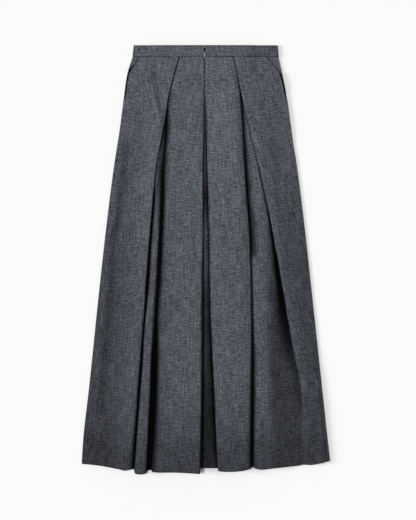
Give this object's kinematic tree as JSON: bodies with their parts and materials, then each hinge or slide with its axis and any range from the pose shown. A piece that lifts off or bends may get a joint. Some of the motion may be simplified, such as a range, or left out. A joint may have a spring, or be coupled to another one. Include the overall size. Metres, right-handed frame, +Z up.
{
  "type": "maxi skirt",
  "caption": "Long A-line skirt laid flat, with a narrow waistband, inverted pleats, slanted side pockets and a centre zip with a hinged pull tab.",
  "frame": {"origin": "under the middle of the skirt's box, on the surface that it lies on", "axes": "+Y from the hem to the waistband, +X across to the right as the zip side is seen, +Z up from the surface"},
  "size_m": [0.5796, 1.0004, 0.0231],
  "materials": {
    "wool_cloth": "charcoal blue-grey melange wool weave, matt",
    "zip_tape": "woven tape, black",
    "metal": "bright plated metal"
  },
  "bodies": {
    "skirt": {"front_left_side": "wool_cloth", "front_left_centre": "wool_cloth", "front_right_centre": "wool_cloth", "front_right_side": "wool_cloth", "left_pleat_underlay": "wool_cloth", "centre_pleat_underlay": "wool_cloth", "right_pleat_underlay": "wool_cloth", "back": "wool_cloth", "pocket_facing_left": "wool_cloth", "pocket_facing_right": "wool_cloth", "waistband_front_left": "wool_cloth", "waistband_front_right": "wool_cloth", "waistband_back": "wool_cloth", "zip_tape": "zip_tape", "zip_slider": "metal", "waist_hook": "metal", "waist_eye": "metal"},
    "zip_pull": {"zip_pull": "metal"}
  },
  "joints": [
    {"name": "zip_pull_hinge", "type": "hinge", "parent": "skirt", "child": "zip_pull", "pos_m": [-0.0029, 0.4848, 0.0094], "axis": [-1, 0, 0], "range_deg": [0, 165]}
  ]
}
